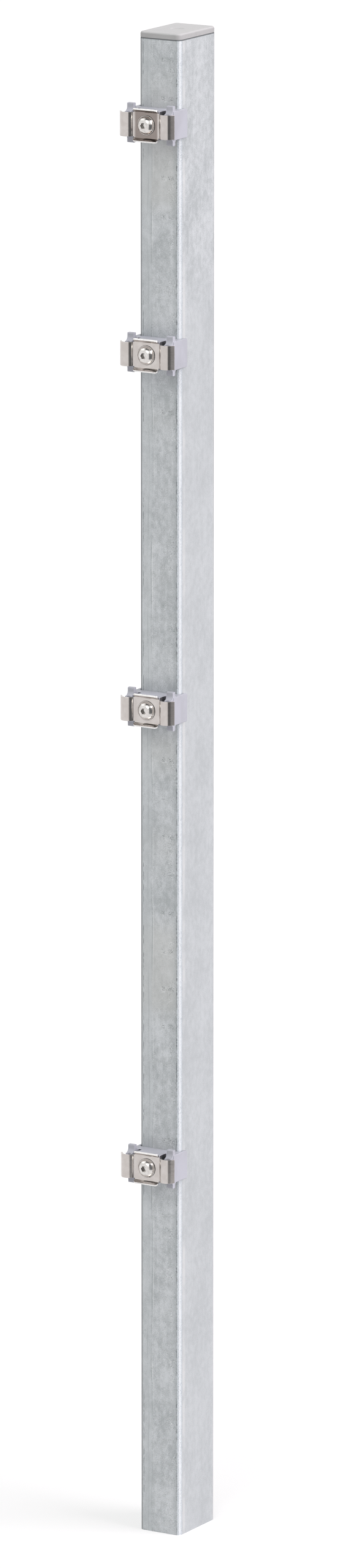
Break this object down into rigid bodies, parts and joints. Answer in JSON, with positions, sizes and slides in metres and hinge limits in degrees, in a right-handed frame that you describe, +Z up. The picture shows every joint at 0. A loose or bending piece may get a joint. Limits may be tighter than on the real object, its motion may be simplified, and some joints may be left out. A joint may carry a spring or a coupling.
{
  "type": "metal fence post",
  "caption": "Galvanised rectangular steel fence post with a push-in plastic cap and bolted clamps whose moulded saddles and arched stainless clips hold mat wires to its front face.",
  "frame": {"origin": "on the tube's axis at its foot", "axes": "+Z up along the tube, -Y out of the narrow face that carries the clamps, +X across that face"},
  "size_m": [0.0536, 0.0859, 1.3053],
  "materials": {
    "galvanised_steel": "dull hot-dip zinc with a welded seam, drips and cloudy patches",
    "cap_plastic": "smooth light grey",
    "saddle_plastic": "smooth cool grey, slightly satin",
    "stainless_sheet": "rolled stainless sheet, satin with bright cut edges",
    "stainless_screw": "bright stainless",
    "zinc_plated_steel": "dull zinc plate"
  },
  "bodies": {
    "root": {"post_tube": "galvanised_steel", "end_cap": "cap_plastic", "wire_saddle_1": "saddle_plastic", "clip_plate_1": "stainless_sheet", "wire_saddle_2": "saddle_plastic", "clip_plate_2": "stainless_sheet", "wire_saddle_3": "saddle_plastic", "clip_plate_3": "stainless_sheet", "wire_saddle_4": "saddle_plastic", "clip_plate_4": "stainless_sheet", "clamp_screws": "stainless_screw", "rivet_nuts": "zinc_plated_steel"}
  },
  "joints": []
}
